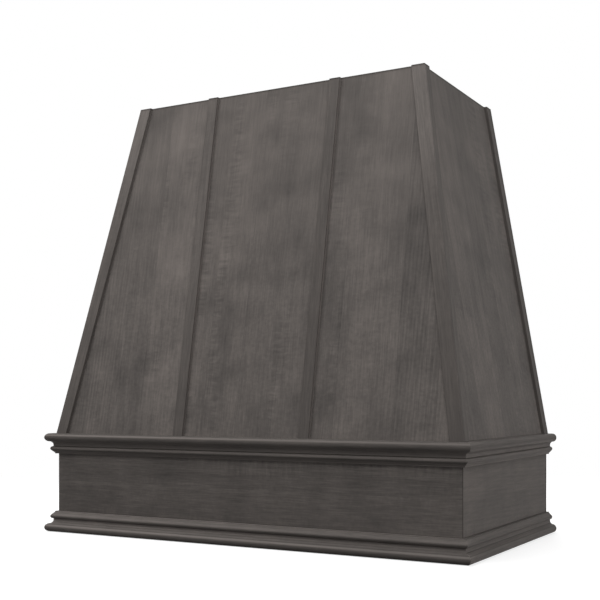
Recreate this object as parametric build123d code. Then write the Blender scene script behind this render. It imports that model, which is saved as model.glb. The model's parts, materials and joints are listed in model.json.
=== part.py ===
from build123d import *
import os

# Wooden range hood cover, 36 inches wide. A band of mitred boards carries a moulding along its top
# and the same moulding, turned over, along its foot. On the band stands a body that tapers on the
# front and both sides, with straps over its panels. The back is open to the wall.
# Millimetres, +Z up, the front faces -Y and the wall is at +Y. The origin is on the underside, in
# the middle of the overall width and depth.

# Overall shape
body_width = 914.4  # over the band boards
body_depth = 496.0  # wall to the band's front face
height = 914.4  # underside to the flat top
band_height = 209.3  # underside to the top of the band and its moulding
top_width = 668.2  # over the side straps, at the top
top_depth = 372.1  # wall to the face of the front straps, at the top
foot_overhang = 3.8  # strap faces past the band's faces, at the straps' foot

# Boards and straps
board = 18.0  # thickness of band boards, rails and ledges
panel = 12.7  # thickness of the tapered body's panels
strap_thickness = 6.4
corner_strap_width = 27.0
mid_strap_width = 23.4
mid_strap_spacing = 287.0  # centre to centre
side_strap_lap = 4.8  # side front strap past the joint of front and side panel
side_rear_strap_width = 26.0
eased_radius = 0.8  # sanded arris of the straps

# Moulding: a half-round nose, a cove, and a bead that runs back in a bevel to a narrow heel
trim_projection = 21.8  # nose past the band's face
nose_radius = 8.7
cove_height = 7.0
quirk_height = 3.1
neck_projection = 8.1  # cove's deepest point and the bead's centre, past the band's face
bead_radius = 4.8
heel_projection = 5.6
heel_height = 1.6

# Inner frame
sill_width = 44.0  # flat rails that carry the tapered body on the band
top_rail_width = 44.0  # flat rails round the duct's way out
wall_rail_height = 89.0  # boards that take the screws into the wall
cleat = 25.0  # section of the battens behind the panels' feet and corners
ledge_height = 38.0
ledge_recess = 18.0  # underside of the ledges above the underside of the band
corner_block_leg = 36.0

# Holes for the wall screws and the liner screws
stud_spacing = 406.4
stud_hole_radius = 4.2
liner_hole_radius = 1.6
liner_hole_depth = 25.0
liner_hole_offset = 30.0  # from the ledge's own end screws, towards its middle

# Countersunk wood screws
shank_radius = 2.1
head_radius = 4.1
head_depth = 2.6
screw_clearance = 0.2
bite = 2 / 3  # share of the second piece's thickness that a screw enters
screw_inset = 100.0  # first and last screw of a row from its ends
row_screws = 2

# Places worked out from the values above
half_width = body_width / 2
wall_y = (body_depth + trim_projection) / 2
front_y = wall_y - body_depth
inner_x = half_width - board
inner_front_y = front_y + board
inner_back_y = wall_y - board
sill_bottom = band_height - board
body_rise = height - band_height
front_run = body_depth + foot_overhang - top_depth
side_run = half_width + foot_overhang - top_width / 2
panel_back = strap_thickness + panel  # strap face to the panels' inner face
cove_end = 2 * nose_radius + cove_height
bead_centre = cove_end + quirk_height + bead_radius
bevel_start = bead_radius * 0.5 ** 0.5  # 45 degree bevel's start, past and below the bead's centre
heel_top = bead_centre + bevel_start + neck_projection + bevel_start - heel_projection
trim_height = heel_top + heel_height
ledge_top = ledge_recess + ledge_height
frame_screw_length = board * (1 + bite)
sill_screw_length = board + cleat * bite
upper_stud_z = height - wall_rail_height / 2
lower_stud_z = sill_bottom - wall_rail_height / 2

# Cutting planes. Each keeps the side that its normal points away from.
wall = Plane((0, wall_y, 0), z_dir=(0, 1, 0))
ceiling = Plane.XY.offset(height)
body_foot = -Plane.XY.offset(band_height)
front_face = Plane((0, front_y - foot_overhang, band_height), z_dir=(0, -body_rise, front_run))
blank = Pos(0, 0, height / 2) * Box(2 * body_width, 2 * body_depth, 2 * height)


def side_face(side):
    """Face of the side straps. side is 1 on the right and -1 on the left."""
    foot = (side * (half_width + foot_overhang), 0, band_height)
    return Plane(foot, z_dir=(side * body_rise, 0, side_run))


def mitre(side):
    """45 degree saw cut through a front corner of the band, seen from the front piece."""
    return Plane((side * half_width, front_y, 0), z_dir=(side, 1, 0))


def sawn(piece, *cuts):
    for cut in cuts:
        piece = split(piece, bisect_by=cut, keep=Keep.BOTTOM)
    return piece


def box(x, y, z):
    """A square-edged piece from its (low, high) in X, Y and Z."""
    size = [high - low for low, high in (x, y, z)]
    middle = [(low + high) / 2 for low, high in (x, y, z)]
    return Pos(*middle) * Box(*size)


def layer(face, start, thickness, *edges):
    """A slanted piece that lies between two depths under a face, with its edges sawn."""
    front = face.offset(-start)
    back = -face.offset(-start - thickness)
    return sawn(blank, front, back, body_foot, ceiling, *edges)


def sided(side, low, high):
    """(low, high) along X on the right, mirrored for the left."""
    return (low, high) if side > 0 else (-high, -low)


def spaced(low, high, count, inset):
    pitch = (high - low - 2 * inset) / (count - 1)
    return [low + inset + pitch * i for i in range(count)]


# Tapered body


def front_panel():
    edges = [side_face(side).offset(-strap_thickness) for side in (-1, 1)]
    return layer(front_face, strap_thickness, panel, *edges)


def side_panel(side):
    behind_front_panel = front_face.offset(-panel_back)
    return layer(side_face(side), strap_thickness, panel, behind_front_panel, wall)


def eased(strap, face):
    """Rounds the long arrises of a strap's face."""
    near = 0.01
    on_face = [e for e in strap.edges() if abs(face.to_local_coords(e.center()).Z) < near]
    long_ones = [e for e in on_face if e.length > body_rise / 2]
    return fillet(long_ones, eased_radius)


def corner_strap(side):
    inner_edge = -side_face(side).offset(-corner_strap_width)
    return eased(layer(front_face, 0, strap_thickness, side_face(side), inner_edge), front_face)


def mid_strap(side):
    centre = side * mid_strap_spacing / 2
    left_edge = Plane((centre - mid_strap_width / 2, 0, 0), z_dir=(-1, 0, 0))
    right_edge = Plane((centre + mid_strap_width / 2, 0, 0), z_dir=(1, 0, 0))
    return eased(layer(front_face, 0, strap_thickness, left_edge, right_edge), front_face)


def side_front_strap(side):
    behind_corner_strap = front_face.offset(-strap_thickness)
    rear_edge = -front_face.offset(-panel_back - side_strap_lap)
    strap = layer(side_face(side), 0, strap_thickness, behind_corner_strap, rear_edge)
    return eased(strap, side_face(side))


def side_rear_strap(side):
    front_edge = -wall.offset(-side_rear_strap_width)
    return eased(layer(side_face(side), 0, strap_thickness, front_edge, wall), side_face(side))


# Band and mouldings


def band_board(side):
    """The front board for side 0, else a side board. They meet in mitres at the front."""
    if side == 0:
        piece = box((-half_width, half_width), (front_y, inner_front_y), (0, band_height))
        return sawn(piece, mitre(-1), mitre(1))
    piece = box(sided(side, inner_x, half_width), (front_y, wall_y), (0, band_height))
    return sawn(piece, -mitre(side))


def trim_outline():
    """The upper moulding's section: X is out from the band's face, Y is down from its top."""
    nose_x = trim_projection - nose_radius
    nose_foot = (nose_x, -2 * nose_radius)
    neck_top = (neck_projection, -cove_end)
    bead_start = (neck_projection, bead_radius - bead_centre)
    bead_face = (neck_projection + bead_radius, -bead_centre)
    bead_end = (neck_projection + bevel_start, -bead_centre - bevel_start)
    heel = [(heel_projection, -heel_top), (heel_projection, -trim_height)]
    outline = [
        Line((0, 0), (nose_x, 0)),
        ThreePointArc((nose_x, 0), (trim_projection, -nose_radius), nose_foot),
        TangentArc(neck_top, nose_foot, tangent=(0, 1)),
        Line(neck_top, bead_start),
        ThreePointArc(bead_start, bead_face, bead_end),
        Polyline(bead_end, *heel, (0, -trim_height), (0, 0)),
    ]
    return make_face(Curve() + outline)


def trim(side, upper):
    """One length of moulding. The lower course is the upper one turned over."""
    section = trim_outline() if upper else mirror(trim_outline(), about=Plane.XZ)
    z = band_height if upper else 0
    if side == 0:
        across = Plane((half_width + trim_projection, front_y, z), x_dir=(0, -1, 0), z_dir=(-1, 0, 0))
        length = body_width + 2 * trim_projection
        return sawn(extrude(across * section, length), mitre(-1), mitre(1))
    across = Plane((side * half_width, wall_y, z), x_dir=(side, 0, 0), z_dir=(0, -side, 0))
    return sawn(extrude(across * section, side * (body_depth + trim_projection)), -mitre(side))


# Inner frame


def face_depth(face, depth, z):
    """Distance from the middle plane or the wall of a point at height z, a depth under a face."""
    run_per_rise = face.z_dir.Z / (face.z_dir.X ** 2 + face.z_dir.Y ** 2) ** 0.5
    slant = (1 + run_per_rise ** 2) ** 0.5
    return depth * slant + (z - band_height) * run_per_rise


def inner_half_width(z, depth=panel_back):
    return half_width + foot_overhang - face_depth(side_face(1), depth, z)


def inner_front(z, depth=panel_back):
    return front_y - foot_overhang + face_depth(front_face, depth, z)


front_cleat_y = inner_front(band_height) + cleat
side_cleat_x = inner_half_width(band_height) - cleat
top_rail_back_y = inner_front(height) + top_rail_width
top_rail_inner_x = inner_half_width(height) - top_rail_width
ledge_y = (inner_front_y + board, inner_back_y)


def sill_rail(place):
    z = (sill_bottom, band_height)
    front = (inner_front_y, inner_front_y + sill_width)
    back = (wall_y - sill_width, wall_y)
    if place in ("front", "back"):
        return box((-inner_x, inner_x), front if place == "front" else back, z)
    x = sided(1 if place == "right" else -1, inner_x - sill_width, inner_x)
    return box(x, (front[1], back[0]), z)


def foot_cleat_front():
    """Batten on the sill behind the foot of the front panel, between the corner cleats."""
    back_face = Plane((0, front_cleat_y, 0), z_dir=(0, 1, 0))
    cleat_top = Plane.XY.offset(band_height + cleat)
    ends = [side_face(side).offset(-panel_back - cleat) for side in (-1, 1)]
    return sawn(blank, front_face.offset(-panel_back), back_face, body_foot, cleat_top, *ends)


def foot_cleat_side(side):
    inner_face = Plane((side * side_cleat_x, 0, 0), z_dir=(-side, 0, 0))
    cleat_top = Plane.XY.offset(band_height + cleat)
    front_end = front_face.offset(-panel_back - cleat)
    outer = side_face(side).offset(-panel_back)
    return sawn(blank, outer, inner_face, body_foot, cleat_top, front_end, wall)


def corner_cleat(side):
    """Batten in the slanted corner between the front and a side panel, from sill to top rail."""
    under_top_rail = Plane.XY.offset(height - board)
    inner_side = -side_face(side).offset(-panel_back - cleat)
    batten = layer(front_face, panel_back, cleat, side_face(side).offset(-panel_back), inner_side)
    return sawn(batten, under_top_rail)


def top_rail_front():
    back_face = Plane((0, top_rail_back_y, 0), z_dir=(0, 1, 0))
    underside = -Plane.XY.offset(height - board)
    ends = [side_face(side).offset(-panel_back) for side in (-1, 1)]
    return sawn(blank, front_face.offset(-panel_back), back_face, underside, ceiling, *ends)


def top_rail_side(side):
    inner_face = Plane((side * top_rail_inner_x, 0, 0), z_dir=(-side, 0, 0))
    front_end = Plane((0, top_rail_back_y, 0), z_dir=(0, -1, 0))
    back_end = wall.offset(-board)
    underside = -Plane.XY.offset(height - board)
    outer = side_face(side).offset(-panel_back)
    return sawn(blank, outer, inner_face, underside, ceiling, front_end, back_end)


def stud_holes(z):
    spots = [Plane((x, wall_y, z), z_dir=(0, 1, 0)) for x in (-stud_spacing / 2, stud_spacing / 2)]
    return [spot * Cylinder(stud_hole_radius, 3 * board) for spot in spots]


def upper_wall_rail():
    ends = [side_face(side).offset(-panel_back) for side in (-1, 1)]
    underside = -Plane.XY.offset(height - wall_rail_height)
    rail = sawn(blank, -wall.offset(-board), wall, underside, ceiling, *ends)
    return rail - stud_holes(upper_stud_z)


def lower_wall_rail():
    z = (sill_bottom - wall_rail_height, sill_bottom)
    return box((-inner_x, inner_x), (inner_back_y, wall_y), z) - stud_holes(lower_stud_z)


def ledge(place):
    """Strip round the inside of the band that the liner's flange is screwed up to."""
    z = (ledge_recess, ledge_top)
    if place == "front":
        return box((-inner_x, inner_x), (inner_front_y, inner_front_y + board), z)
    if place == "back":
        return box((-inner_x, inner_x), (inner_back_y, wall_y), z)
    side = 1 if place == "right" else -1
    strip = box(sided(side, inner_x - board, inner_x), ledge_y, z)
    mouths = [Pos(side * (inner_x - board / 2), y, ledge_recess) for y in liner_hole_y]
    return strip - [mouth * Cylinder(liner_hole_radius, 2 * liner_hole_depth) for mouth in mouths]


def corner_block(side, end):
    """Three-cornered glue block in a corner of the band, from the ledges up to the sill.

    A back one is narrower on the wall rail, where the liner comes up to the side ledge's face.
    """
    y = inner_front_y if end == "front" else inner_back_y
    on_side = corner_block_leg if end == "front" else -corner_block_leg
    on_end = corner_block_leg if end == "front" else board
    x = side * inner_x
    corners = [(x, y), (x - side * on_end, y), (x, y + on_side)]
    triangle = make_face(Polyline(*corners, close=True))
    return extrude(Pos(0, 0, ledge_top) * triangle, amount=sill_bottom - ledge_top, dir=(0, 0, 1))


# Screws. A screw's plane lies on the surface that its head is flush with, facing out of it.


def screw(length, clearance=0.0):
    """A countersunk screw, or with a clearance the hole that it sits in."""
    head = (head_radius + clearance, 0)
    neck = (shank_radius + clearance, -head_depth)
    end = (shank_radius + clearance, -length - clearance)
    outline = Polyline((0, 0), head, neck, end, (0, -length - clearance), close=True)
    return revolve(Plane.XZ * make_face(outline), axis=Axis.Z)


def drilled(piece, seats, length):
    return piece - [seat * screw(length, screw_clearance) for seat in seats]


def facing(direction, *places):
    return [Plane(place, z_dir=direction) for place in places]


# Screws through the ledges into the band's boards, by side, and through the back ledge into the
# ends of the side ledges
ledge_screw_y = spaced(*ledge_y, row_screws, screw_inset)
liner_hole_y = (ledge_screw_y[0] + liner_hole_offset, ledge_screw_y[-1] - liner_hole_offset)
ledge_screw_z = ledge_recess + ledge_height / 2
ledge_screw_x = spaced(-inner_x, inner_x, row_screws, screw_inset)
ledge_seats = {
    0: facing((0, 1, 0), *[(x, ledge_y[0], ledge_screw_z) for x in ledge_screw_x]),
    -1: facing((1, 0, 0), *[(board - inner_x, y, ledge_screw_z) for y in ledge_screw_y]),
    1: facing((-1, 0, 0), *[(inner_x - board, y, ledge_screw_z) for y in ledge_screw_y]),
}

# Screws up through the sill into the foot cleats, and through the upper wall rail into the top rails
sill_screw_x = spaced(-side_cleat_x, side_cleat_x, row_screws, screw_inset)
sill_seats = {
    0: facing((0, 0, -1), *[(x, front_cleat_y - cleat / 2, sill_bottom) for x in sill_screw_x]),
}
back_ledge_seats = {}
wall_rail_seats = {}
for side in (-1, 1):
    middle = (front_cleat_y + wall_y) / 2
    sill_seats[side] = facing((0, 0, -1), (side * (side_cleat_x + cleat / 2), middle, sill_bottom))
    ledge_end = (side * (inner_x - board / 2), wall_y, ledge_screw_z)
    back_ledge_seats[side] = facing((0, 1, 0), ledge_end)
    rail_end = (side * (top_rail_inner_x + top_rail_width / 2), wall_y, height - board / 2)
    wall_rail_seats[side] = facing((0, 1, 0), rail_end)


def joined(seats):
    return [seat for group in seats.values() for seat in group]


def screws(seats, length):
    return Compound(children=[seat * screw(length) for seat in seats])


def pieces():
    """Every node by name."""
    sides = {"left": -1, "right": 1}
    made = {
        "front_panel": front_panel(),
        "band_front_board": drilled(band_board(0), ledge_seats[0], frame_screw_length),
        "upper_trim_front": trim(0, upper=True),
        "lower_trim_front": trim(0, upper=False),
        "foot_cleat_front": drilled(foot_cleat_front(), sill_seats[0], sill_screw_length),
        "sill_rail_front": drilled(sill_rail("front"), sill_seats[0], sill_screw_length),
        "sill_rail_back": sill_rail("back"),
        "top_rail_front": top_rail_front(),
        "upper_wall_rail": drilled(upper_wall_rail(), joined(wall_rail_seats), frame_screw_length),
        "lower_wall_rail": lower_wall_rail(),
        "liner_ledge_front": drilled(ledge("front"), ledge_seats[0], frame_screw_length),
        "liner_ledge_back": drilled(ledge("back"), joined(back_ledge_seats), frame_screw_length),
    }
    for name, side in sides.items():
        into_ledge = ledge_seats[side] + back_ledge_seats[side]
        made |= {
            f"{name}_side_panel": side_panel(side),
            f"front_corner_strap_{name}": corner_strap(side),
            f"front_mid_strap_{name}": mid_strap(side),
            f"side_front_strap_{name}": side_front_strap(side),
            f"side_rear_strap_{name}": side_rear_strap(side),
            f"band_{name}_board": drilled(band_board(side), ledge_seats[side], frame_screw_length),
            f"upper_trim_{name}": trim(side, upper=True),
            f"lower_trim_{name}": trim(side, upper=False),
            f"foot_cleat_{name}": drilled(foot_cleat_side(side), sill_seats[side], sill_screw_length),
            f"sill_rail_{name}": drilled(sill_rail(name), sill_seats[side], sill_screw_length),
            f"corner_cleat_{name}": corner_cleat(side),
            f"top_rail_{name}": drilled(top_rail_side(side), wall_rail_seats[side], frame_screw_length),
            f"liner_ledge_{name}": drilled(ledge(name), into_ledge, frame_screw_length),
            f"corner_block_front_{name}": corner_block(side, "front"),
            f"corner_block_back_{name}": corner_block(side, "back"),
        }
    frame_seats = joined(ledge_seats) + joined(back_ledge_seats) + joined(wall_rail_seats)
    made["frame_screws"] = screws(frame_seats, frame_screw_length)
    made["sill_screws"] = screws(joined(sill_seats), sill_screw_length)
    return made


os.makedirs("parts", exist_ok=True)
for name, piece in pieces().items():
    export_step(piece, f"parts/{name}.step")
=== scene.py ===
from collections import namedtuple
import json
import math

import bmesh
import bpy
from mathutils import Matrix, Vector


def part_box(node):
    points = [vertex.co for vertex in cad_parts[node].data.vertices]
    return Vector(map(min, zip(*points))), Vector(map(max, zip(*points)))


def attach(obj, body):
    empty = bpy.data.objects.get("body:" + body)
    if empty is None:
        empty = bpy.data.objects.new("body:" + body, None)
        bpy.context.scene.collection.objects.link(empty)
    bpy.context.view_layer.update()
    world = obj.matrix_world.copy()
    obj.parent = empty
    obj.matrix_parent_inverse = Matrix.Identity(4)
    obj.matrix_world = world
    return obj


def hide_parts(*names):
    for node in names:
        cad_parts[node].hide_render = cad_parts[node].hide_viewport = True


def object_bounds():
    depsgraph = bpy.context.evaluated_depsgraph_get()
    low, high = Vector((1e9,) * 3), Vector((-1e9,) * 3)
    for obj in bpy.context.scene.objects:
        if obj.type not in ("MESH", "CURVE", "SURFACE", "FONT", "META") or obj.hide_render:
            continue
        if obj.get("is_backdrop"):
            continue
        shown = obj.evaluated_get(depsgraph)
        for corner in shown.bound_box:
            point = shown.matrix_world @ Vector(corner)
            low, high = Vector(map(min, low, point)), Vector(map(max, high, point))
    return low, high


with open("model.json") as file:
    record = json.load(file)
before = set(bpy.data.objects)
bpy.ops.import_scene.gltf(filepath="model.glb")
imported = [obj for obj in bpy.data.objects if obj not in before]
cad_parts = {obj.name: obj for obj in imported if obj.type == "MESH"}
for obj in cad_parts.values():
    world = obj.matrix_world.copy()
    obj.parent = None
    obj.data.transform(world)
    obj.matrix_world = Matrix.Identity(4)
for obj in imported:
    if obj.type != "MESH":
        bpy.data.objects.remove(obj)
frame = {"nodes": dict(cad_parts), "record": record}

# A wooden range hood cover: its woods, its threaded screws, the camera, the floor and the light.
# Metres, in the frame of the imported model: +X is right, the front faces -Y and the wall is at +Y.
# Where a value is a pair of limits, the first is where its effect starts and the second where it is full.

cad_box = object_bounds()
nodes = frame["nodes"]
slots = {part["node"]: part["material_slot"] for part in frame["record"]["subparts"]}

RIGHT, BACK, UP = Vector((1, 0, 0)), Vector((0, 1, 0)), Vector((0, 0, 1))
MIDDLE = (Vector(cad_box[0]) + Vector(cad_box[1])) / 2
WALL = cad_box[1][1]
MM = 0.001


# Camera, as the photograph was taken: level, from the right, with the picture shifted up

CAMERA_PLACE = (1.1082, -1.9644, 0.2874)
CAMERA_TURN = math.radians(29.388)
LENS = 63.67  # in millimetres, as the sensor is
SENSOR = 36.0
SHIFT_UP = 0.1611  # of the picture's width


def make_camera():
    data = bpy.data.cameras.new("camera")
    data.lens = LENS
    data.sensor_width = SENSOR
    data.shift_y = SHIFT_UP
    camera = bpy.data.objects.new("camera", data)
    camera.location = CAMERA_PLACE
    camera.rotation_euler = (math.radians(90), 0, CAMERA_TURN)
    bpy.context.scene.collection.objects.link(camera)
    bpy.context.scene.camera = camera


# Node trees


class Tree:
    """A node tree, with short calls for the nodes that the materials share."""

    def __init__(self, owner):
        owner.use_nodes = True
        self.tree = owner.node_tree
        self.tree.nodes.clear()

    def add(self, kind, inputs=None, **settings):
        node = self.tree.nodes.new("ShaderNode" + kind)
        for name, value in settings.items():
            setattr(node, name, value)
        for name, value in (inputs or {}).items():
            self.feed(node.inputs[name], value)
        return node

    def feed(self, socket, value):
        if isinstance(value, bpy.types.NodeSocket):
            self.tree.links.new(value, socket)
        else:
            socket.default_value = value

    def math(self, operation, *values):
        node = self.add("Math", operation=operation)
        for socket, value in zip(node.inputs, values):
            self.feed(socket, value)
        return node.outputs[0]

    def vector(self, operation, *values):
        node = self.add("VectorMath", operation=operation)
        for socket, value in zip(node.inputs, values):
            self.feed(socket, value)
        return node.outputs["Value" if operation in ("DOT_PRODUCT", "LENGTH") else "Vector"]

    def join(self, x, y, z):
        return self.add("CombineXYZ", {"X": x, "Y": y, "Z": z}).outputs[0]

    def parts(self, vector):
        return list(self.add("SeparateXYZ", {"Vector": vector}).outputs)

    def noise(self, place, cells, detail=2.0, roughness=0.5, distortion=0.0):
        """Noise about 0, from -1 to 1, at so many cells a metre along each axis of place."""
        scaled = self.vector("MULTIPLY", place, cells)
        inputs = {"Vector": scaled, "Scale": 1.0, "Detail": detail, "Roughness": roughness}
        inputs["Distortion"] = distortion
        value = self.add("TexNoise", inputs).outputs["Fac"]
        return self.math("MULTIPLY_ADD", value, 2.0, -1.0)

    def between(self, value, low, high, to_low=0.0, to_high=1.0):
        """value from low..high to to_low..to_high, smoothly and clamped."""
        inputs = {"Value": value, "From Min": low, "From Max": high}
        inputs |= {"To Min": to_low, "To Max": to_high}
        return self.add("MapRange", inputs, interpolation_type="SMOOTHSTEP").outputs[0]

    def through(self, value, *points):
        """Smooth steps from each (value, number) to the next."""
        total = points[0][1]
        for (low, before), (high, after) in zip(points, points[1:]):
            total = self.math("ADD", total, self.between(value, low, high, 0.0, after - before))
        return total

    def distance(self, value, middle):
        """How far value is from middle, either way."""
        return self.math("ABSOLUTE", self.math("SUBTRACT", value, middle))

    def mix(self, amount, first, second):
        """The number first, turning to second as amount goes to 1."""
        step = self.math("SUBTRACT", second, first)
        return self.math("MULTIPLY_ADD", amount, step, first)

    def blend(self, amount, first, second):
        """The colour first, turning to second as amount goes to 1."""
        node = self.add("Mix", data_type="RGBA")
        self.feed(node.inputs[0], amount)
        self.feed(node.inputs[6], first)
        self.feed(node.inputs[7], second)
        return node.outputs[2]

    def ramp(self, amount, *colours):
        """Colours evenly spread from 0 to 1."""
        node = self.add("ValToRGB", {"Fac": amount})
        stops = node.color_ramp.elements
        while len(stops) < len(colours):
            stops.new(0.5)
        for i, (stop, colour) in enumerate(zip(stops, colours)):
            stop.position = i / (len(colours) - 1)
            stop.color = colour
        return node.outputs["Color"]

    def scaled(self, colour, factor):
        node = self.add("VectorMath", operation="SCALE")
        self.feed(node.inputs[0], colour)
        self.feed(node.inputs["Scale"], factor)
        return node.outputs["Vector"]

    def sum(self, start, *parts):
        """start plus each (value, weight)."""
        total = start
        for value, weight in parts:
            total = self.math("MULTIPLY_ADD", value, weight, total)
        return total


def grey(level, warmth=0.0):
    """A linear colour about a grey level, turned to brown by warmth."""
    return (level * (1 + 1.2 * warmth), level, level * (1 - 0.7 * warmth), 1.0)


# Floor, backdrop and light

WHITE = grey(1.0)
FLOOR_SIDE = 30.0
FLOOR_GAP = 0.0006  # between the object and the floor
FLOOR_GREY = 0.35  # of the seen floor by the object
FLOOR_GLOW = 0.72  # added to what the lamps give it
FLOOR_PLAIN = (1.0, 1.9)  # distance over which the seen floor turns to plain white
FLOOR_BOUNCE = 0.15  # grey of the floor for the light that it throws back
AMBIENT = 0.30  # strength of the world's white light, which is seen at 1
LAMP_TARGET = Vector((0, 0, 0.45))


def seen(tree):
    """1 for rays from the camera and for mirrored and passed-through ones, else 0."""
    path = tree.add("LightPath").outputs
    mirrored = tree.math("MAXIMUM", path["Is Glossy Ray"], path["Is Transmission Ray"])
    return tree.math("MAXIMUM", path["Is Camera Ray"], mirrored)


def mixed_shader(tree, amount, first, second):
    mix = tree.add("MixShader")
    tree.feed(mix.inputs[0], amount)
    tree.feed(mix.inputs[1], first.outputs[0])
    tree.feed(mix.inputs[2], second.outputs[0])
    return mix


def floor_material():
    material = bpy.data.materials.new("floor")
    tree = Tree(material)
    far = tree.between(tree.vector("LENGTH", tree.add("TexCoord").outputs["Object"]), *FLOOR_PLAIN)
    lit = tree.add("BsdfDiffuse", {"Color": grey(FLOOR_GREY)})
    glow = tree.add("Emission", {"Color": WHITE, "Strength": FLOOR_GLOW})
    shown = tree.add("AddShader")
    tree.feed(shown.inputs[0], lit.outputs[0])
    tree.feed(shown.inputs[1], glow.outputs[0])
    white = tree.add("Emission", {"Color": WHITE, "Strength": 1.0})
    plain = tree.add("BsdfDiffuse", {"Color": grey(FLOOR_BOUNCE)})
    surface = mixed_shader(tree, seen(tree), plain, mixed_shader(tree, far, shown, white))
    tree.add("OutputMaterial", {"Surface": surface.outputs[0]})
    return material


def make_floor():
    half = FLOOR_SIDE / 2
    mesh = bpy.data.meshes.new("floor")
    corners = [(-half, -half, 0), (half, -half, 0), (half, half, 0), (-half, half, 0)]
    mesh.from_pydata(corners, [], [(0, 1, 2, 3)])
    mesh.materials.append(floor_material())
    floor = bpy.data.objects.new("floor", mesh)
    floor.location.z = -FLOOR_GAP
    bpy.context.scene.collection.objects.link(floor)
    floor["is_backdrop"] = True


def make_world():
    world = bpy.data.worlds.new("world")
    bpy.context.scene.world = world
    tree = Tree(world)
    strength = tree.math("MULTIPLY_ADD", seen(tree), 1.0 - AMBIENT, AMBIENT)
    background = tree.add("Background", {"Color": WHITE, "Strength": strength})
    tree.add("OutputWorld", {"Surface": background.outputs[0]})


def softbox(name, azimuth, elevation, power, distance=3.0, size=1.2):
    """A square lamp turned to the object, in watts and degrees: azimuth 0 is in front, 90 on the right."""
    turn, rise = math.radians(azimuth), math.radians(elevation)
    level = math.cos(rise)
    direction = Vector((math.sin(turn) * level, -math.cos(turn) * level, math.sin(rise)))
    data = bpy.data.lights.new(name, "AREA")
    data.shape = "SQUARE"
    data.size = size
    data.energy = power
    lamp = bpy.data.objects.new(name, data)
    lamp.location = LAMP_TARGET + direction * distance
    lamp.rotation_mode = "QUATERNION"
    lamp.rotation_quaternion = direction.to_track_quat("Z", "Y")
    bpy.context.scene.collection.objects.link(lamp)


def make_lights():
    softbox("key", -20, 66, 197, distance=4.5, size=3.4)
    softbox("fill", 40, 30, 15.5)
    softbox("side", 86, 6, 18.5)
    softbox("back", 200, 35, 50)


# Boards. Board space is the place along the grain, across it and out of the face.

BOARD_SHIFT = Vector((1.37, 2.91, 0.83))  # from one board's figure to the next one's
SHARP = 0.98  # an edge is sharp where the cosine between its two faces is less
END_GRAIN = (0.6, 0.8)  # limits of the cosine between the surface's normal and the grain

LEAF_WIDTH = 0.105  # of a usual leaf of veneer
LEAF_NOISE = (0.0, 6.0, 1.0)  # cells a metre of the noise that makes the widths uneven
LEAF_UNEVEN = 1.2  # strength of that noise, in leaves
LEAF_ROW = 0.37  # from one board's widths to the next one's
LEAF_DICE = 17.3  # from one board's random values to the next one's
LEAF_SHIFT = Vector((2.3, 0.71, 0.47))  # a leaf's figure is moved by its random values times this
SEAM = 0.0006  # half the width of a seam

RING_UNEVEN = 0.7  # strength of the rings' noise, in rings

Surface = namedtuple("Surface", "colour rough height")

# Noise in board space, in cells a metre along the grain and across it
Layer = namedtuple("Layer", "along across detail roughness distortion", defaults=(0.5, 0.0))
WANDER = Layer(1.6, 7.0, 1.0)
RING_NOISE = Layer(2.0, 16.0, 2.0)


def sharp_edges(mesh):
    """Edges where the surface turns or ends."""
    beside = {}
    for face in mesh.polygons:
        for key in face.edge_keys:
            beside.setdefault(key, []).append(face.normal)
    for key, normals in beside.items():
        if len(normals) == 1 or normals[0].dot(normals[1]) < SHARP:
            low, high = [mesh.vertices[i].co for i in key]
            yield high - low


def flat_faces(mesh):
    """(area, normal, distance along it) of each flat face, told apart by 0.01 of normal or 1 mm."""
    sums = {}
    for face in mesh.polygons:
        key = tuple(round(value, 2) + 0.0 for value in face.normal)
        key += (round(face.normal.dot(face.center), 3),)
        area, normal, distance = sums.get(key, (0.0, Vector(), 0.0))
        normal = normal + face.normal * face.area
        distance += face.normal.dot(face.center) * face.area
        sums[key] = (area + face.area, normal, distance)
    return [(area, normal / area, distance / area) for area, normal, distance in sums.values()]


def out_of_face(name):
    """Normal of the largest flat face, turned away from the middle of the object."""
    normal = max(flat_faces(nodes[name].data), key=lambda face: face[0])[1].normalized()
    low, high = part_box(name)
    from_middle = (Vector(low) + Vector(high)) / 2 - MIDDLE
    return normal if normal.dot(from_middle) > 0 else -normal


def along_grain(name, out):
    """Upright on the panels, else the way that the piece is long."""
    if name.endswith("panel"):
        return (UP - out * UP.dot(out)).normalized()
    longest = max(sharp_edges(nodes[name].data), key=lambda edge: edge.length)
    grain = (longest - out * longest.dot(out)).normalized()
    return grain if max(grain, key=abs) > 0 else -grain


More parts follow.
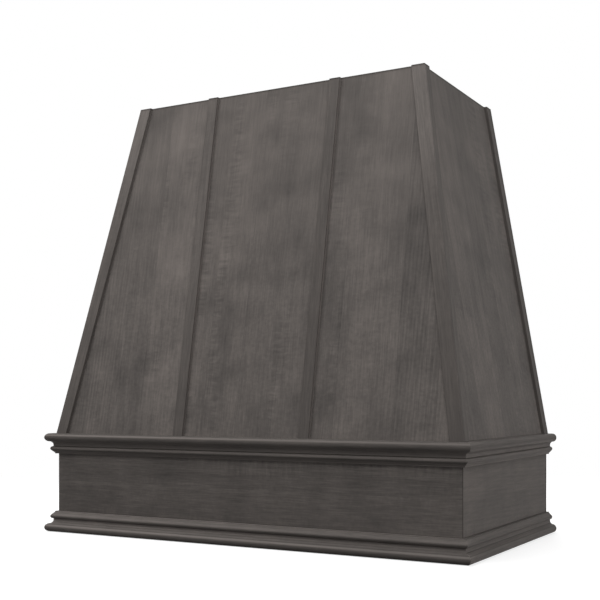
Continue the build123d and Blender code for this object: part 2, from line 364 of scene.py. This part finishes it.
class Board:
    """The nodes that each wood starts from: board space, and which way the surface faces."""

    def __init__(self, name, number):
        self.name, self.number = name, number
        self.out = out_of_face(name)
        self.grain = along_grain(name, self.out)
        self.material = bpy.data.materials.new(name + "_finish")
        self.tree = tree = Tree(self.material)
        self.point = tree.add("TexCoord").outputs["Object"]
        axes = (self.grain, self.out.cross(self.grain), self.out)
        spots = [tree.vector("DOT_PRODUCT", self.point, axis) for axis in axes]
        self.along, self.across, self.depth = spots
        self.place = tree.vector("ADD", tree.join(*spots), BOARD_SHIFT * number)
        self.normal = tree.add("NewGeometry").outputs["True Normal"]
        self.outward = tree.vector("DOT_PRODUCT", self.normal, self.out)
        to_end = tree.math("ABSOLUTE", tree.vector("DOT_PRODUCT", self.normal, self.grain))
        self.end = tree.between(to_end, *END_GRAIN)
        self.face_depth = max(self.out.dot(vertex.co) for vertex in nodes[name].data.vertices)

    def layer(self, place, layer):
        cells = (layer.along, layer.across, layer.across)
        return self.tree.noise(place, cells, layer.detail, layer.roughness, layer.distortion)

    def leaves(self):
        """Veneer leaves side by side: three random values for each, and 1 on the seams."""
        tree = self.tree
        strip = tree.join(0.0, self.across, self.number * LEAF_ROW)
        uneven = tree.math("MULTIPLY", tree.noise(strip, LEAF_NOISE), LEAF_UNEVEN)
        count = tree.math("MULTIPLY_ADD", self.across, 1 / LEAF_WIDTH, uneven)
        index = tree.math("ADD", tree.math("FLOOR", count), self.number * LEAF_DICE)
        dice = tree.add("TexWhiteNoise", {"W": index}, noise_dimensions="1D").outputs["Color"]
        from_middle = tree.distance(tree.math("FRACT", count), 0.5)
        return dice, tree.between(from_middle, 0.5 - SEAM / LEAF_WIDTH, 0.5)

    def wander(self, place, much):
        """Board space with the grain lines wandering a little from straight."""
        tree = self.tree
        bend = self.layer(place, WANDER)
        return tree.vector("ADD", place, tree.join(0.0, tree.math("MULTIPLY", bend, much), 0.0))

    def rings(self, place, heart, tilt, pitch):
        """Growth rings, -1 to 1: cylinders about a heart that runs a little askew to the board."""
        tree = self.tree
        along, across, depth = tree.parts(place)
        side = tree.math("SUBTRACT", across, heart[0])
        below = tree.math("MULTIPLY_ADD", along, tilt, tree.math("SUBTRACT", depth, heart[1]))
        radius = tree.vector("LENGTH", tree.join(side, below, 0.0))
        uneven = tree.math("MULTIPLY", self.layer(place, RING_NOISE), RING_UNEVEN)
        turns = tree.math("MULTIPLY_ADD", radius, 1 / pitch, uneven)
        return tree.math("SINE", tree.math("MULTIPLY", turns, 2 * math.pi))

    def near(self, planes):
        """1 on the planes, going to 0 at their reach. A plane is a normal, a distance and a reach."""
        tree = self.tree
        mask = 0.0
        for normal, distance, reach in planes:
            off = tree.distance(tree.vector("DOT_PRODUCT", self.point, normal), distance)
            mask = tree.math("MAXIMUM", mask, tree.between(off, reach, 0.0))
        return mask


# Stained maple

STAIN = 0.109  # its grey level
STAIN_SHADES = ((0.50, 0.075), (1.0, 0.098), (1.64, 0.115))  # (times that, warmth), from dark to light
HIGHLIGHT_STOP = (1.5, 0.10)  # the same for the painted highlight on the front mouldings
GLAZE_AND_SHADE_STOP = (0.3, 0.14)  # and where stain gathers and where shade is painted
GLAZE_AND_SHADE_COVER = 0.8  # how far the colour turns to that one
MAPLE_WANDER = 0.004  # how far the grain lines wander
MAPLE_RINGS = ((0.0, -0.05), 0.09, 0.0075)  # heart across and in depth, tilt, and spacing

BLOTCH = Layer(9.0, 7.5, 1.5, distortion=0.5)
CLOUDS = Layer(22.0, 24.0, 1.5, 0.55)
BANDS = Layer(1.3, 34.0, 1.0)
STREAKS = Layer(7.0, 130.0, 3.0, 0.65)
LINES = Layer(28.0, 430.0, 2.0, 0.6)
MOTTLE = Layer(170.0, 110.0, 2.0, 0.6)
COLUMNS = Layer(2.6, 24.0, 1.0)
RIPPLE = Layer(120.0, 22.0, 1.0, distortion=0.6)
PORES = Layer(60.0, 1100.0, 0.0)

PATCH = (0.0, -0.6)  # limits of the blotches' noise for a dark patch
COLUMN = (-0.05, 0.35)  # of the columns' noise, for one that ripples stand in
PORE = (0.30, 0.7)  # of the pores' noise
FLECKED = (0.1, 0.9, 0.35, 1.0)  # of a leaf's random value, and the strength of its flecks at both
RINGED = (0.55, 0.95, 0.012, 0.055)  # the same for its rings


def fine_figure(board, place, fleck_dice, ring_dice, soft, curl):
    """Streaks, lines, curl, pores, flecks and rings, and the height of the grain."""
    tree = board.tree
    streaks = board.layer(place, STREAKS)
    lines = board.layer(place, LINES)
    curls = tree.math("MULTIPLY", board.layer(place, MOTTLE), curl)
    pores = tree.between(board.layer(place, PORES), *PORE)
    columns = tree.between(board.layer(place, COLUMNS), *COLUMN)
    ripples = tree.math("MULTIPLY", columns, board.layer(place, RIPPLE))
    flecks = tree.math("MULTIPLY", ripples, tree.between(fleck_dice, *FLECKED))
    rings = board.rings(place, *MAPLE_RINGS)
    ringed = tree.math("MULTIPLY", rings, tree.between(ring_dice, *RINGED))
    figure = tree.sum(
        0.0, (streaks, 0.20), (lines, 0.23), (curls, 0.11 * soft), (pores, -0.12),
        (flecks, 0.34 * soft), (ringed, soft),
    )
    return figure, tree.sum(0.5, (streaks, 0.2), (lines, 0.25), (pores, -0.5))


def stain_colour(stop):
    times, warmth = stop
    return grey(STAIN * times, warmth)


def stained(board, glaze_and_shade, soft=1.0, fine=1.0, curl=1.0, veneer=False, highlight=None, strength=None):
    """Maple under a charcoal stain and matt lacquer, in one piece or in the leaves of a veneer.

    soft multiplies the figure but for streaks, lines and pores, fine the whole fine figure, and curl
    the curls. The glaze-and-shade mask darkens the colour where it is 1: stain gathers in some places,
    and shade is painted in others. The highlight mask turns it lighter, as a painted highlight.
    strength multiplies the colour; most of its tones paint in light and shade.
    """
    tree = board.tree
    place, seam = board.place, 0.0
    tone_dice = fleck_dice = ring_dice = 0.5
    blotch = board.layer(place, BLOTCH)  # runs on over the seams, as the stain does
    if veneer:
        dice, seam = board.leaves()
        place = tree.vector("ADD", place, tree.vector("MULTIPLY", dice, LEAF_SHIFT))
        tone_dice, fleck_dice, ring_dice = tree.parts(dice)
    place = board.wander(place, MAPLE_WANDER)
    clouds = board.layer(place, CLOUDS)
    bands = board.layer(place, BANDS)
    patches = tree.between(blotch, *PATCH)
    leaf_tone = tree.math("SUBTRACT", tone_dice, 0.5)
    figure, height = fine_figure(board, place, fleck_dice, ring_dice, soft, curl)
    shade = tree.sum(
        0.53, (blotch, 0.30 * soft), (patches, -0.06 * soft), (clouds, 0.13 * soft),
        (bands, 0.10 * soft), (figure, fine), (leaf_tone, 0.16), (seam, -0.08), (board.end, -0.22),
    )
    colour = tree.ramp(shade, *[stain_colour(stop) for stop in STAIN_SHADES])
    if strength is not None:
        colour = tree.scaled(colour, strength)
    # painted highlight: the colour turns lighter where the highlight mask is
    if highlight is not None:
        colour = tree.blend(highlight, colour, stain_colour(HIGHLIGHT_STOP))
    # darker where stain gathers and where shade is painted
    colour = tree.blend(tree.math("MULTIPLY", glaze_and_shade, GLAZE_AND_SHADE_COVER), colour, stain_colour(GLAZE_AND_SHADE_STOP))
    height = tree.sum(height, (seam, -0.6))
    rough = tree.sum(0.64, (height, -0.06), (blotch, 0.05))
    return Surface(colour, rough, height)


# Bare woods, with linear colours from dark to light

BIRCH = ((0.47, 0.315, 0.165, 1.0), (0.61, 0.435, 0.245, 1.0), (0.72, 0.545, 0.335, 1.0))
BIRCH_END = ((0.22, 0.125, 0.058, 1.0), (0.36, 0.22, 0.11, 1.0), (0.47, 0.31, 0.165, 1.0))
BIRCH_WANDER = 0.010
BIRCH_RINGS = ((0.04, -0.03), 0.05, 0.016)
BIRCH_SOFT = Layer(3.0, 9.0, 2.0, distortion=0.6)
BIRCH_FINE = Layer(16.0, 300.0, 3.0, 0.65)
FIBRES = (900.0, 900.0, 240.0)  # cells a metre of the cut layers' noise
PLY = 0.0014  # thickness of a layer
PLY_EDGE = (0.8, 0.6)  # limits of the cosine between the surface's normal and the face's
GLUE = (0.10, 0.052, 0.026, 1.0)
GLUE_LINE = (0.41, 0.49)  # limits from a layer's middle, in layers
GLUE_COVER = 0.75  # how far the colour turns to the glue's

PINE = ((0.36, 0.20, 0.085, 1.0), (0.62, 0.43, 0.23, 1.0), (0.72, 0.54, 0.32, 1.0))
PINE_WANDER = 0.006
PINE_HEART = (0.02, -0.035)  # across and in depth
PINE_HEARTS, PINE_HEART_STEP = 5, 0.013  # the boards take turns at so many places, this far apart
PINE_TILT, PINE_PITCH = 0.02, 0.0055
PINE_FINE = Layer(14.0, 380.0, 3.0, 0.65)
PINE_SOFT = Layer(2.0, 12.0, 2.0)
LATE_WOOD = (0.1, 1.0)  # limits of the dark part of a ring

SHEEN = 0.05  # specular level of the matt woods
RELIEF = 0.00012  # depth of the grain


def plywood(board):
    """Bare birch plywood: sliced face veneers, and its layers on the edges."""
    tree = board.tree
    place = board.wander(board.place, BIRCH_WANDER)
    soft = board.layer(place, BIRCH_SOFT)
    rings = board.rings(place, *BIRCH_RINGS)
    fine = board.layer(place, BIRCH_FINE)
    face = tree.ramp(tree.sum(0.5, (soft, 0.30), (rings, 0.06), (fine, 0.30)), *BIRCH)
    count = tree.math("DIVIDE", tree.math("SUBTRACT", board.face_depth, board.depth), PLY)
    odd = tree.math("FLOORED_MODULO", tree.math("FLOOR", count), 2.0)
    glue = tree.between(tree.distance(tree.math("FRACT", count), 0.5), *GLUE_LINE)
    fibres = tree.noise(board.place, FIBRES, detail=2.0, roughness=0.7)
    cut = tree.distance(odd, board.end)  # 1 where a layer's fibres are cut across
    layers = tree.blend(cut, face, tree.ramp(tree.sum(0.5, (fibres, 0.5), (soft, 0.15)), *BIRCH_END))
    layers = tree.blend(tree.math("MULTIPLY", glue, GLUE_COVER), layers, GLUE)
    edge = tree.between(tree.math("ABSOLUTE", board.outward), *PLY_EDGE)
    height = tree.sum(0.5, (fine, 0.3), (tree.math("MULTIPLY", edge, fibres), 0.4))
    rough = tree.sum(0.70, (fine, 0.06), (edge, 0.10))
    return Surface(tree.blend(edge, face, layers), rough, height)


def softwood(board):
    """Planed pine: growth rings right through it, and darker end grain."""
    tree = board.tree
    place = board.wander(board.place, PINE_WANDER)
    aside = PINE_HEART[0] + PINE_HEART_STEP * (board.number % PINE_HEARTS)
    rings = board.rings(place, (aside, PINE_HEART[1]), PINE_TILT, PINE_PITCH)
    late = tree.between(rings, *LATE_WOOD)
    fine = board.layer(place, PINE_FINE)
    soft = board.layer(place, PINE_SOFT)
    value = tree.sum(0.66, (late, -0.40), (fine, 0.26), (soft, 0.18), (board.end, -0.16))
    height = tree.sum(0.5, (late, 0.25), (fine, 0.3))
    rough = tree.sum(0.72, (late, -0.08), (board.end, 0.10))
    return Surface(tree.ramp(value, *PINE), rough, height)


def mixed_surface(tree, amount, first, second):
    colour = tree.blend(amount, first.colour, second.colour)
    rough = tree.mix(amount, first.rough, second.rough)
    return Surface(colour, rough, tree.mix(amount, first.height, second.height))


def apply_wood(board, surface):
    tree = board.tree
    bump = tree.add("Bump", {"Height": surface.height, "Distance": RELIEF, "Strength": 1.0})
    inputs = {"Base Color": surface.colour, "Roughness": surface.rough, "Normal": bump.outputs[0]}
    shader = tree.add("BsdfPrincipled", inputs)
    shader.inputs["Specular IOR Level"].default_value = SHEEN
    tree.add("OutputMaterial", {"Surface": shader.outputs[0]})
    own = nodes[board.name].data.materials
    own.clear()
    own.append(board.material)


# Which finish each piece has. A tone multiplies the stain's colour, and most tones paint in light and
# shade.

NARROW_SOFT = 0.35  # soft figure of the straps and mouldings
FIGURES = {  # soft and fine figure, where they aren't as on the panels
    "band_front_board": (0.8, 1.3),
    "band_right_board": (0.7, 0.75),
}

# What changes from one height to another: the two heights, and the value at each
PANEL_TONES = (0.25, 0.55, 0.95, 1.0)  # painted shade of the front panel, darker towards its foot
LIVELY = (0.85, 0.40, 0.66, 1.04)  # fine figure of the panels and of the band's left board
CURL = (0.80, 0.35, 0.6, 1.6)  # curly figure of the panels

LEFT_BAY_TONES = (-0.15, -0.17, 1.0, 1.09)  # painted light, the same way along X, lighter on the front panel's left bay
BAND_TONES = ((0.06, 0.85), (0.12, 0.94), (0.135, 0.94), (0.152, 1.15), (0.161, 1.5))  # (height, tone): painted shade towards the foot, and painted light just under the upper moulding against its shadow
SIDE_PANEL_TONE = 0.94

STRAP_TONES = {  # painted light and shade: at the foot, half way up and at the top of the face, and the sides' times that
    "front_corner_strap_left": (0.82, 0.94, 1.33, 1.05),
    "front_mid_strap_left": (0.76, 0.965, 1.01, 1.35),
    "front_mid_strap_right": (0.72, 0.785, 0.91, 1.85),
    "front_corner_strap_right": (0.69, 0.845, 1.28, 0.9),
}
# the same painted light and shade for the rear straps and the others
REAR_STRAP_TONES = (0.62, 0.70, 0.72, 0.9)
OTHER_STRAP_TONES = (0.82, 0.85, 0.86, 0.9)
STRAP_SIDE = (0.6, 0.2)  # limits of the cosine between the surface's normal and the face's

# In millimetres from its nose's flat side, a moulding has its nose up to 17.4, the cove to 24.4, the neck
# to 27.5, then the bead, and the bevel and heel to 43.2.
TRIM_TONES = {  # (millimetres, tone): painted light and shade across the profile
    "upper_trim_front": (
        (1, 0.62), (2.5, 0.80), (6, 0.72), (13, 0.75), (20.5, 1.3), (25, 1.4), (29, 1.0), (32, 1.12),
        (35.5, 0.78), (39.5, 1.08),
    ),
    "lower_trim_front": (
        (2, 0.38), (4, 0.64), (9.5, 0.68), (13.2, 1.02), (16.5, 0.68), (19.5, 0.86), (22.5, 1.35),
        (27.5, 1.35), (31, 0.62), (35, 0.90), (37.5, 0.86), (40, 0.76), (43, 1.2),
    ),
    "upper_trim_right": (
        (1, 0.58), (4, 0.66), (9, 0.72), (15.5, 1.35), (20, 1.35), (24, 1.24), (31, 0.98), (35, 1.02),
        (38.5, 1.3),
    ),
    "lower_trim_right": (
        (3, 1.08), (7, 0.92), (13, 0.84), (18, 0.84), (22.5, 1.02), (27.5, 1.2), (31, 0.95),
        (34.5, 0.78), (38, 0.88), (42, 0.74),
    ),
}
# painted light and shade across the profile of the other mouldings
OTHER_TRIM_TONES = ((9, 0.85), (17, 1.05), (22.5, 1.05), (25.5, 1.0))
LOWER_FRONT_TONES = (1.28, 0.94)  # painted light, lighter towards the left: of the lower front moulding's left end and right end, times those

BEAD_LINE = (27.8, 1.0)  # (millimetres, how much shade is painted there, in the crease at the bead)
TRIM_LINES = {  # the same for the painted shade lines that differ; the left mouldings have the right ones' lines
    "upper_trim_front": (),
    "lower_trim_front": ((16.0, 0.25), (19.9, 0.3)),
    "upper_trim_right": ((19.8, 0.4),),
    "lower_trim_right": ((15.2, 0.9), (19.8, 1.0)),
}
LINE_WIDTH = (0.0012, 0.0002)  # limits from a line's middle
LOWEST_EDGE = (0.0045, 0.0008)  # limits of the painted shadow along the foot of the lower mouldings

HIGHLIGHT_RISE = math.radians(34)  # painted highlight on the front's noses, where they face this far up
HIGHLIGHT_FACING = (0.955, 0.995)  # limits of the cosine between the surface's normal and that direction
HIGHLIGHT_NOSE = (0.0055, 0.003)  # limits behind the front of the nose
HIGHLIGHT_STRENGTH = (0.85, 0.30)  # strength of the painted highlight, at the left end and at the right
NECK = 0.0257  # the middle of the upper one's neck, which has a painted highlight too
NECK_WIDTH = (0.0016, 0.0008)  # limits from there
NECK_HIGHLIGHT = 0.9  # strength of the painted highlight there

# Reach of the darker colour: stain and painted shade at the joints, painted shade along the arrises, stain
# at the mitred corners, and plainly darker at the tops and at the wall
JOINT = 0.0016  # stain and painted shade at a foot on a moulding and above the lower moulding; half of it at the front's feet
TOP_RIM = 0.0055  # at the top of the panels and straps
WALL_RIM = 0.0130  # at the wall
ARRIS = 0.0016  # painted shade at a long edge of a strap
FRONT_CORNER, SIDE_CORNER = 0.0025, 0.0016  # at the band's mitred corners, on the front and the sides

AT_WALL = 0.001  # a piece that comes this near the wall reaches it
STRAP_END = 0.1  # a side with less of the face's area is an end
INSIDE = (-0.6, -0.8)  # limits for bare wood, of the cosine between the surface's normal and the face's
TO_WALL = (0.8, 0.95)  # limits for bare wood, of the cosine between the surface's normal and +Y


def rims(board):
    """The planes of a piece's foot and top, and of its edge at the wall."""
    low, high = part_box(board.name)
    joint = JOINT if "side" in board.name else JOINT / 2
    planes = [(UP, low[2], joint), (UP, high[2], TOP_RIM)]
    if high[1] > WALL - AT_WALL:
        planes.append((BACK, high[1], WALL_RIM))
    return planes


def band_planes(board):
    """The planes of the lower moulding's joint, the mitred corners and the edges at the wall."""
    low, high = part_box("band_front_board")
    planes = [(UP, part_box("lower_trim_front")[1][2], JOINT), (BACK, WALL, WALL_RIM)]
    if "front" in board.name:
        return planes + [(RIGHT, low[0], FRONT_CORNER), (RIGHT, high[0], FRONT_CORNER)]
    return planes + [(BACK, low[1], SIDE_CORNER)]


def arrises(board):
    """Painted shade: 1 on the right edge of a front strap's face, both edges at the left corner, none at
    the right.
    """
    if board.name == "front_corner_strap_right":
        return 0.0
    tree = board.tree
    faces = flat_faces(nodes[board.name].data)
    largest = max(area for area, normal, distance in faces)
    sides = [
        (normal, distance, ARRIS) for area, normal, distance in faces
        if abs(normal.dot(board.out)) < 0.5 and area > STRAP_END * largest
        and (normal.dot(RIGHT) > 0.5 or board.name == "front_corner_strap_left")
    ]
    below = tree.math("SUBTRACT", board.face_depth, board.depth)
    return tree.math("MULTIPLY", board.near(sides), tree.between(below, ARRIS, ARRIS / 3))


def veneered(board, planes):
    """Stained outside and on its edges, bare inside and towards the wall."""
    tree = board.tree
    x, _, z = tree.parts(board.point)
    if board.name in FIGURES:
        soft, fine = FIGURES[board.name]
    else:
        soft, fine = 1.0, tree.between(z, *LIVELY)
    curl = tree.between(z, *CURL) if "panel" in board.name else 1.0
    strength = SIDE_PANEL_TONE if "side_panel" in board.name else None
    # painted light and shade: the front panel lighter on its left bay and darker towards its foot; the
    # band's front darker towards its foot and lighter just under the upper moulding
    if board.name == "front_panel":
        strength = tree.between(x, *LEFT_BAY_TONES)
        strength = tree.math("MULTIPLY", strength, tree.between(z, *PANEL_TONES))
    if board.name == "band_front_board":
        strength = tree.through(z, *BAND_TONES)
    outer = stained(board, board.near(planes), soft, fine, curl, veneer=True, strength=strength)
    inner = tree.between(board.outward, *INSIDE)
    to_wall = tree.between(tree.parts(board.normal)[1], *TO_WALL)
    return mixed_surface(tree, tree.math("MAXIMUM", inner, to_wall), outer, plywood(board))


def strap(board):
    """Darker along the edges of its face, with tones by height and on the sides that paint in light and
    shade.
    """
    tree = board.tree
    # darker at the foot, the top and the wall, with painted shade along the arrises
    glaze_and_shade = tree.math("MAXIMUM", board.near(rims(board)), arrises(board))
    low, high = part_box(board.name)
    usual = REAR_STRAP_TONES if "rear" in board.name else OTHER_STRAP_TONES
    foot, middle, top, sides = STRAP_TONES.get(board.name, usual)
    z = tree.parts(board.point)[2]
    # painted light and shade by height and on the sides
    strength = tree.through(z, (low[2], foot), ((low[2] + high[2]) / 2, middle), (high[2], top))
    side = tree.between(board.outward, *STRAP_SIDE, 1.0, sides)
    strength = tree.math("MULTIPLY", strength, side)
    return stained(board, glaze_and_shade, soft=NARROW_SOFT, strength=strength)


def shade_lines_and_wall(board, from_nose):
    """1 where a moulding is darker: painted shade in its lines and along the lower ones' foot, and darker
    at the wall.
    """
    tree = board.tree
    mask = 0.0
    for height, much in (BEAD_LINE, *TRIM_LINES[board.name.replace("left", "right")]):
        line = tree.between(tree.distance(from_nose, height * MM), *LINE_WIDTH, 0.0, much)
        mask = tree.math("MAXIMUM", mask, line)
    if board.name.startswith("lower"):
        mask = tree.math("MAXIMUM", mask, tree.between(from_nose, *LOWEST_EDGE))
    return tree.math("MAXIMUM", mask, board.near([(BACK, WALL, WALL_RIM)]))


def painted_highlight(board, from_nose, x):
    """1 where a moulding on the front has a painted highlight: on its nose, and on the upper one's neck.
    """
    tree = board.tree
    low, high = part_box(board.name)
    turn = (board.out * math.cos(HIGHLIGHT_RISE) + UP * math.sin(HIGHLIGHT_RISE)).normalized()
    facing = tree.between(tree.vector("DOT_PRODUCT", board.normal, turn), *HIGHLIGHT_FACING)
    nose = tree.between(board.depth, *[board.face_depth - behind for behind in HIGHLIGHT_NOSE])
    much = tree.between(x, low[0], high[0], *HIGHLIGHT_STRENGTH)
    mask = tree.math("MULTIPLY", tree.math("MULTIPLY", facing, nose), much)
    if board.name.startswith("lower"):
        return mask
    neck = tree.between(tree.distance(from_nose, NECK), *NECK_WIDTH)
    return tree.math("MAXIMUM", mask, tree.math("MULTIPLY", neck, NECK_HIGHLIGHT))


def trim(board):
    """A moulding, with tones by the distance from its nose's flat side, which paint in light and shade."""
    tree = board.tree
    low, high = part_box(board.name)
    x, _, z = tree.parts(board.point)
    upper = board.name.startswith("upper")
    from_nose = tree.math("SUBTRACT", high[2], z) if upper else tree.math("SUBTRACT", z, low[2])
    tones = TRIM_TONES.get(board.name, OTHER_TRIM_TONES)
    # tones across the profile: painted light and shade
    strength = tree.through(from_nose, *[(height * MM, tone) for height, tone in tones])
    if board.name == "lower_trim_front":
        ends = tree.between(x, low[0], high[0], *LOWER_FRONT_TONES)
        strength = tree.math("MULTIPLY", strength, ends)
    # painted highlight on the noses and the upper neck of the front mouldings
    highlight = painted_highlight(board, from_nose, x) if board.name.endswith("front") else None
    # painted shade in the lines and along the lower mouldings' foot, and darker at the wall
    glaze_and_shade = shade_lines_and_wall(board, from_nose)
    return stained(board, glaze_and_shade, soft=NARROW_SOFT, highlight=highlight, strength=strength)


def finish_of(board):
    slot = slots[board.name]
    if slot == "bare_plywood":
        return plywood(board)
    if slot == "bare_softwood":
        return softwood(board)
    if slot == "stained_veneer":
        band = board.name.startswith("band")
        return veneered(board, band_planes(board) if band else rims(board))
    return trim(board) if "trim" in board.name else strap(board)


def finish_woods():
    for number, name in enumerate(sorted(nodes)):
        if slots[name] != "zinc_steel":
            board = Board(name, number)
            apply_wood(board, finish_of(board))


# Screws, in place of the plain ones

HEAD_SLOPE = 1.3  # depth of the countersink for its width
HEAD_TOP = 0.97  # radius of its flat top, of the head's radius
HEAD_RIM = 0.04  # depth at which it is widest, of the head's radius
RECESS_ARM = 0.53  # length of the recess's arms, of the head's radius
RECESS_HALF = 0.13  # and half their width
RECESS_FLOOR = 0.55  # size at the bottom, of the size at the top
RECESS_DEPTH = 0.62  # of the head's depth
PLAIN_SHANK = 0.3  # share of the shank without thread
POINT = 0.0045  # length of the tapered end
THREAD_PITCH = 0.0018
THREAD_DEPTH = 0.0006
THREAD_HALF = 0.25  # half the width of the ridge's foot, of the pitch
THREAD_RINGS = 5  # for each turn

SAME_PLACE = 1e-6  # corners this near each other are one
SAME_PLANE = 1e-5  # corners this near an end are on it

Seat = namedtuple("Seat", "head inwards length head_radius shank_radius")


def islands(mesh):
    """Corner lists of a mesh's separate pieces, joined where corners share a place."""
    bm = bmesh.new()
    bm.from_mesh(mesh)
    bmesh.ops.remove_doubles(bm, verts=bm.verts, dist=SAME_PLACE)
    left = set(bm.verts)
    found = []
    while left:
        piece, queue = [], [left.pop()]
        while queue:
            vertex = queue.pop()
            piece.append(vertex.co.copy())
            for edge in vertex.link_edges:
                other = edge.other_vert(vertex)
                if other in left:
                    left.remove(other)
                    queue.append(other)
        found.append(piece)
    bm.free()
    return found


def screw_seat(corners):
    """Where a screw's head is, which way its shank runs, its length and its two radii."""
    low = Vector([min(corner[i] for corner in corners) for i in range(3)])
    high = Vector([max(corner[i] for corner in corners) for i in range(3)])
    axis = max(range(3), key=lambda i: high[i] - low[i])
    middle = (low + high) / 2
    radii = []
    for end in (low, high):
        rim = [corner for corner in corners if abs(corner[axis] - end[axis]) < SAME_PLANE]
        flat = [Vector([corner[i] - middle[i] for i in range(3) if i != axis]) for corner in rim]
        radii.append(max(spot.length for spot in flat))
    at_high = radii[1] > radii[0]
    head = middle.copy()
    head[axis] = (high if at_high else low)[axis]
    inwards = Vector([0, 0, 0])
    inwards[axis] = -1 if at_high else 1
    return Seat(head, inwards, high[axis] - low[axis], max(radii), min(radii))


def ring_angles():
    """Round the head, with a corner wherever the crossed recess has one."""
    arm = math.atan2(RECESS_HALF, RECESS_ARM)
    steps = [0, arm, (arm + math.pi / 4) / 2]
    steps += [math.pi / 4] + [math.pi / 2 - step for step in reversed(steps[1:])]
    return [quarter * math.pi / 2 + step for quarter in range(4) for step in steps]


def circle(radius, depth):
    return [(math.cos(angle) * radius, math.sin(angle) * radius, depth) for angle in ring_angles()]


def cross(radius, depth):
    """The recess's outline: a cross with square arms."""
    ring = []
    for angle in ring_angles():
        short, long = sorted((abs(math.cos(angle)), abs(math.sin(angle))))
        reach = RECESS_ARM / long
        if reach * short > RECESS_HALF:
            reach = RECESS_HALF / short
        ring.append((math.cos(angle) * reach * radius, math.sin(angle) * reach * radius, depth))
    return ring


def thread_ring(core, depth, taper):
    """A ring of the thread: its ridge goes round as the depth grows."""
    ring = []
    for angle in ring_angles():
        turn = (depth / THREAD_PITCH - angle / (2 * math.pi)) % 1.0
        ridge = max(0.0, 1 - abs(turn - 0.5) / THREAD_HALF)
        radius = (core + THREAD_DEPTH * ridge) * taper
        ring.append((math.cos(angle) * radius, math.sin(angle) * radius, depth))
    return ring


def screw_rings(seat):
    """Rings of (x, y, depth) from the bottom of the recess over the head to the point."""
    head, length = seat.head_radius, seat.length
    head_depth = (head - seat.shank_radius) * HEAD_SLOPE
    core = seat.shank_radius - THREAD_DEPTH
    shank = core + THREAD_DEPTH / 2
    start = head_depth + (length - head_depth) * PLAIN_SHANK
    rings = [
        cross(head * RECESS_FLOOR, head_depth * RECESS_DEPTH), cross(head, 0.0),
        circle(head * HEAD_TOP, 0.0), circle(head, head * HEAD_RIM),
        circle(shank, head_depth), circle(shank, start),
    ]
    steps = int((length - start) / THREAD_PITCH * THREAD_RINGS)
    for i in range(1, steps):
        depth = start + (length - start) * i / steps
        rings.append(thread_ring(core, depth, min(1.0, (length - depth) / POINT)))
    return rings


def add_screw(bm, seat):
    turn = seat.inwards.to_track_quat("Z", "Y").to_matrix().to_4x4()
    place = Matrix.Translation(seat.head) @ turn
    rings = screw_rings(seat)
    made = [[bm.verts.new(place @ Vector(spot)) for spot in ring] for ring in rings]
    bottom = bm.verts.new(place @ Vector((0, 0, rings[0][0][2])))
    tip = bm.verts.new(place @ Vector((0, 0, seat.length)))
    count = len(made[0])
    for i in range(count):
        j = (i + 1) % count
        bm.faces.new((bottom, made[0][i], made[0][j]))
        bm.faces.new((tip, made[-1][j], made[-1][i]))
        for upper, lower in zip(made, made[1:]):
            bm.faces.new((upper[i], lower[i], lower[j], upper[j]))


ZINC = ((0.42, 0.40, 0.36, 1.0), (0.60, 0.57, 0.50, 1.0), (0.70, 0.66, 0.56, 1.0))
ZINC_CLOUDS = (260.0, 260.0, 260.0)  # cells a metre
SCRATCHES = (1500.0, 4200.0, 1500.0)
SCRATCH_DEPTH = 0.00003


def zinc(name):
    """Zinc plated steel with a warm, cloudy passivation and fine scratches."""
    material = bpy.data.materials.new(name)
    tree = Tree(material)
    place = tree.add("TexCoord").outputs["Object"]
    cloud = tree.noise(place, ZINC_CLOUDS, detail=3.0, roughness=0.6)
    scratch = tree.noise(place, SCRATCHES, detail=2.0, roughness=0.7)
    colour = tree.ramp(tree.sum(0.5, (cloud, 0.6), (scratch, 0.2)), *ZINC)
    bump = tree.add("Bump", {"Height": scratch, "Distance": SCRATCH_DEPTH, "Strength": 1.0})
    rough = tree.sum(0.36, (cloud, 0.10), (scratch, 0.06))
    inputs = {"Base Color": colour, "Roughness": rough, "Normal": bump.outputs[0]}
    shader = tree.add("BsdfPrincipled", inputs)
    shader.inputs["Metallic"].default_value = 1.0
    tree.add("OutputMaterial", {"Surface": shader.outputs[0]})
    return material


def make_screws(node):
    bm = bmesh.new()
    for corners in sorted(islands(nodes[node].data), key=lambda piece: tuple(min(piece, key=tuple))):
        add_screw(bm, screw_seat(corners))
    bmesh.ops.recalc_face_normals(bm, faces=bm.faces)
    mesh = bpy.data.meshes.new(node + "_threaded")
    bm.to_mesh(mesh)
    bm.free()
    piece = bpy.data.objects.new(node + "_threaded", mesh)
    bpy.context.scene.collection.objects.link(piece)
    mesh.materials.append(zinc(node + "_zinc"))
    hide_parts(node)
    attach(piece, "root")


make_camera()
make_world()
make_floor()
make_lights()
finish_woods()
for node in sorted(nodes):
    if slots[node] == "zinc_steel":
        make_screws(node)

bpy.context.scene.view_settings.view_transform = "Standard"

boxes = {"cad": cad_box, "visual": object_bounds()}
{name: [list(corner) for corner in box] for name, box in boxes.items()}
